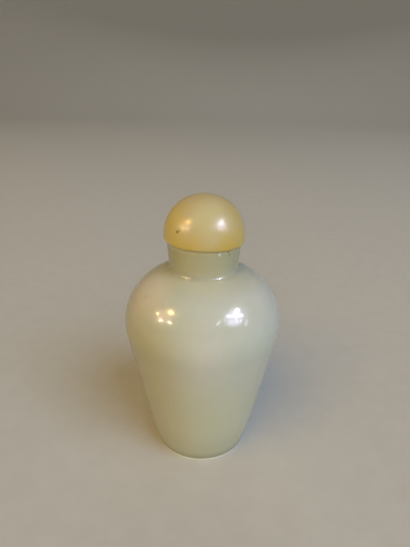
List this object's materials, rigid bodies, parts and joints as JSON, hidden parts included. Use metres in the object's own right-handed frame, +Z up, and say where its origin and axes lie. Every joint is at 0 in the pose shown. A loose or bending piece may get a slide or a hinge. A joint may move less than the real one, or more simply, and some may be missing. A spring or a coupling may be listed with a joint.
{
  "type": "snuff bottle",
  "caption": "Small high-shouldered stone snuff bottle, hollow, with a short flared neck, a ring foot and a domed stopper on a cork.",
  "frame": {"origin": "centre of the foot, on the surface that the bottle stands on", "axes": "+Z up along the bottle's turning axis; -Y faces the viewer of the picture, with +X to the viewer's right"},
  "size_m": [0.039, 0.039, 0.0677],
  "materials": {
    "pale_jade": "polished, translucent pale grey-green nephrite",
    "honey_jade": "polished, translucent honey-yellow stone",
    "cork": "matt natural cork"
  },
  "bodies": {
    "root": {"bottle": "pale_jade", "stopper": "honey_jade", "stopper_cork": "cork"}
  },
  "joints": []
}
